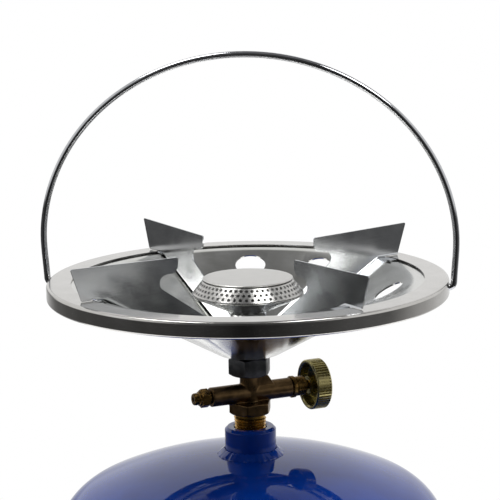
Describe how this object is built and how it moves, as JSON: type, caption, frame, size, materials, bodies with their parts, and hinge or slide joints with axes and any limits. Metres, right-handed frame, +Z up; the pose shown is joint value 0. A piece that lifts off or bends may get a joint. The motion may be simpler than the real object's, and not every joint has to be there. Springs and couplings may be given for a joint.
{
  "type": "propane burner stand",
  "caption": "Portable propane burner: a squat gas bottle with a screw-in valve carrying a burner, wind dish, crossed pan supports and a swinging carrying bail.",
  "frame": {"origin": "centre of the underside of the gas bottle's foot ring, on the surface it stands on", "axes": "+Z up along the bottle's axis, X through the two pivots of the carrying bail"},
  "size_m": [0.2412, 0.2328, 0.4582],
  "materials": {
    "blue_enamel": "high-gloss blue enamel on steel",
    "polished_steel": "bright polished sheet",
    "satin_steel": "fine satin",
    "chromed_wire": "bright chromed wire",
    "dark_steel": "dulled zinc-plated steel",
    "aged_brass": "browned cast and turned brass",
    "bright_brass": "machined",
    "knob_alloy": "satin, straight knurled",
    "rubber": "matt",
    "fibre": "matt"
  },
  "bodies": {
    "stand": {"bottle_upper_shell": "blue_enamel", "bottle_lower_shell": "blue_enamel", "bottle_girth_weld": "blue_enamel", "bottle_foot_ring": "blue_enamel", "bottle_foot_weld": "blue_enamel", "bottle_neck_boss": "blue_enamel", "bottle_neck_weld": "blue_enamel", "valve_body": "aged_brass", "spindle_packing": "fibre", "gland_nut": "aged_brass", "relief_spring": "polished_steel", "relief_plug": "aged_brass", "burner_bowl": "polished_steel", "rim_ring": "satin_steel", "pan_support_a": "polished_steel", "pan_support_b": "polished_steel", "mixer_tube": "dark_steel", "burner_cup": "polished_steel", "flame_band": "polished_steel", "burner_cap": "satin_steel", "burner_nut": "dark_steel", "tab_washer": "dark_steel", "gas_jet": "bright_brass", "outlet_gasket": "fibre"},
    "bail": {"carrying_bail": "chromed_wire"},
    "knob": {"valve_knob": "knob_alloy", "knob_screw": "dark_steel", "valve_spindle": "bright_brass"},
    "plug": {"valve_plug": "bright_brass", "valve_plug_pad": "rubber"},
    "relief": {"relief_piston": "bright_brass", "relief_seal": "rubber"}
  },
  "joints": [
    {"name": "bail_swing", "type": "hinge", "parent": "stand", "child": "bail", "pos_m": [0, 0, 0.3242], "axis": [1, 0, 0], "range_deg": [-140, 140]},
    {"name": "knob_turn", "type": "hinge", "parent": "stand", "child": "knob", "pos_m": [0, 0, 0.2608], "axis": [0.8526, 0.5225, 0], "range_deg": [0, 540]},
    {"name": "plug_slide", "type": "slide", "parent": "stand", "child": "plug", "axis": [0.8526, 0.5225, 0], "range_m": [0, 0.0019]},
    {"name": "relief_lift", "type": "slide", "parent": "stand", "child": "relief", "axis": [-0.8526, -0.5225, 0], "range_m": [0, 0.0012], "stiffness_N_per_m": 2500, "springref_m": -0.002, "deforming": ["relief_spring"]}
  ],
  "couplings": [
    {"joint": "plug_slide", "follows": "knob_turn", "m_per_rad": 0.00019894}
  ]
}
